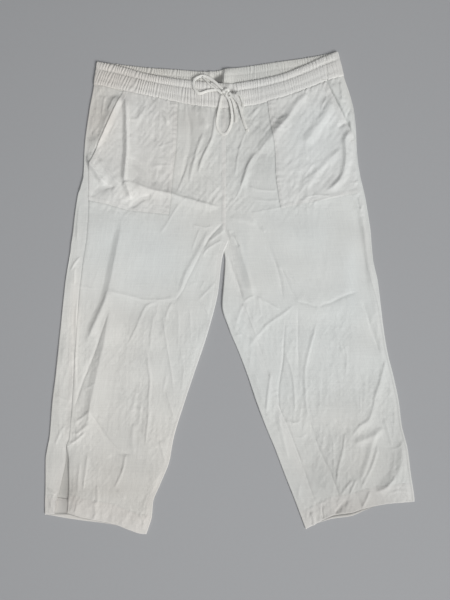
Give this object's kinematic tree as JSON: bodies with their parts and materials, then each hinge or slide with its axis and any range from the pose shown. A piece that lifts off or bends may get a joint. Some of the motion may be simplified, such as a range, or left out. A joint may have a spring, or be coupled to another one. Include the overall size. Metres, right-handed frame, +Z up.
{
  "type": "capri pants",
  "caption": "Wide pull-on capri pants with a gathered elastic waist, drawstring bow, slanted patch pockets and turned hems, lying flat and face up.",
  "frame": {"origin": "middle of the garment's outline at the surface it lies on", "axes": "+Y from the hems to the waist, +X from the wearer's right leg to the left leg, +Z up out of the surface"},
  "size_m": [0.7405, 0.9651, 0.0158],
  "materials": {
    "cloth": "matte crisp plain weave, off-white",
    "band": "matte plain weave gathered over elastic, off-white",
    "tie": "matte narrow self-fabric tie, off-white"
  },
  "bodies": {
    "root": {"front_right": "cloth", "front_left": "cloth", "back_right": "cloth", "back_left": "cloth", "pocket_right": "cloth", "pocket_left": "cloth", "waistband_front": "band", "waistband_back": "band", "tie_loop_upper": "tie", "tie_loop_hanging": "tie", "tie_end_long": "tie", "tie_end_short": "tie", "tie_slack": "tie", "tie_knot": "tie", "tie_tip_knot": "tie"}
  },
  "joints": []
}
